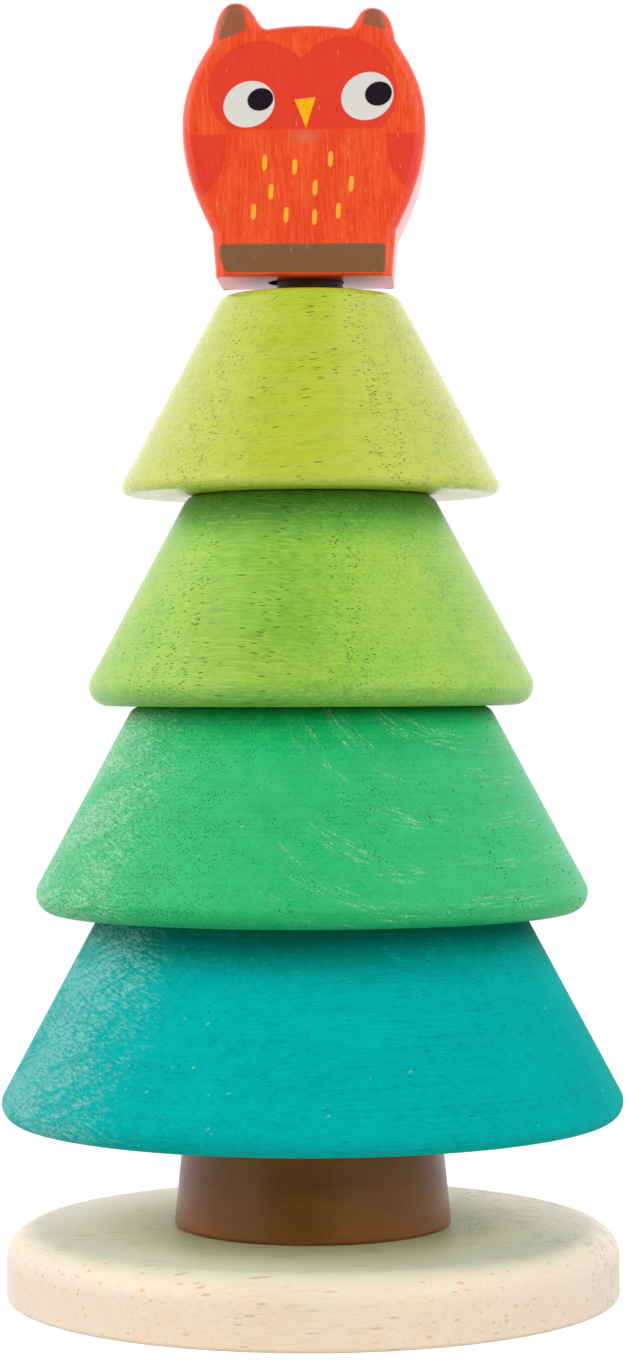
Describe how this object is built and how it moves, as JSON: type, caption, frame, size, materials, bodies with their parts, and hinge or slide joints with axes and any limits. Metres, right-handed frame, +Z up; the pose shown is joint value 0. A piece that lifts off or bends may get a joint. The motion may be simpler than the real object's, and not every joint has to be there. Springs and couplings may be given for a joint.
{
  "type": "stacking tree toy",
  "caption": "Wooden stacking tree: coloured conical rings and a flat owl that lift off an upright peg on a round base with a short trunk.",
  "frame": {"origin": "middle of the base disc's flat underside, where the toy stands", "axes": "+Z up along the peg; the owl's painted face looks along -Y and its left ear in that view is at -X"},
  "size_m": [0.1216, 0.1216, 0.2516],
  "materials": {
    "base_wood": "matte",
    "trunk_paint": "satin",
    "peg_paint": "satin",
    "teal_stain": "satin",
    "green_stain": "satin",
    "leaf_stain": "satin",
    "lime_stain": "satin",
    "owl_lacquer": "gloss",
    "screw_steel": "satin"
  },
  "bodies": {
    "stand": {"base_disc": "base_wood", "trunk_block": "trunk_paint", "centre_peg": "peg_paint", "peg_screw": "screw_steel"},
    "teal": {"teal_ring": "teal_stain"},
    "green": {"green_ring": "green_stain"},
    "leaf": {"leaf_ring": "leaf_stain"},
    "lime": {"lime_ring": "lime_stain"},
    "owl": {"owl_topper": "owl_lacquer"}
  },
  "joints": [
    {"name": "teal_lift", "type": "slide", "parent": "stand", "child": "teal", "axis": [0, 0, 1], "range_m": [0, 0.19]},
    {"name": "green_lift", "type": "slide", "parent": "teal", "child": "green", "axis": [0, 0, 1], "range_m": [0, 0.15]},
    {"name": "leaf_lift", "type": "slide", "parent": "green", "child": "leaf", "axis": [0, 0, 1], "range_m": [0, 0.11]},
    {"name": "lime_lift", "type": "slide", "parent": "leaf", "child": "lime", "axis": [0, 0, 1], "range_m": [0, 0.07]},
    {"name": "owl_lift", "type": "slide", "parent": "lime", "child": "owl", "axis": [0, 0, 1], "range_m": [0, 0.03]}
  ]
}
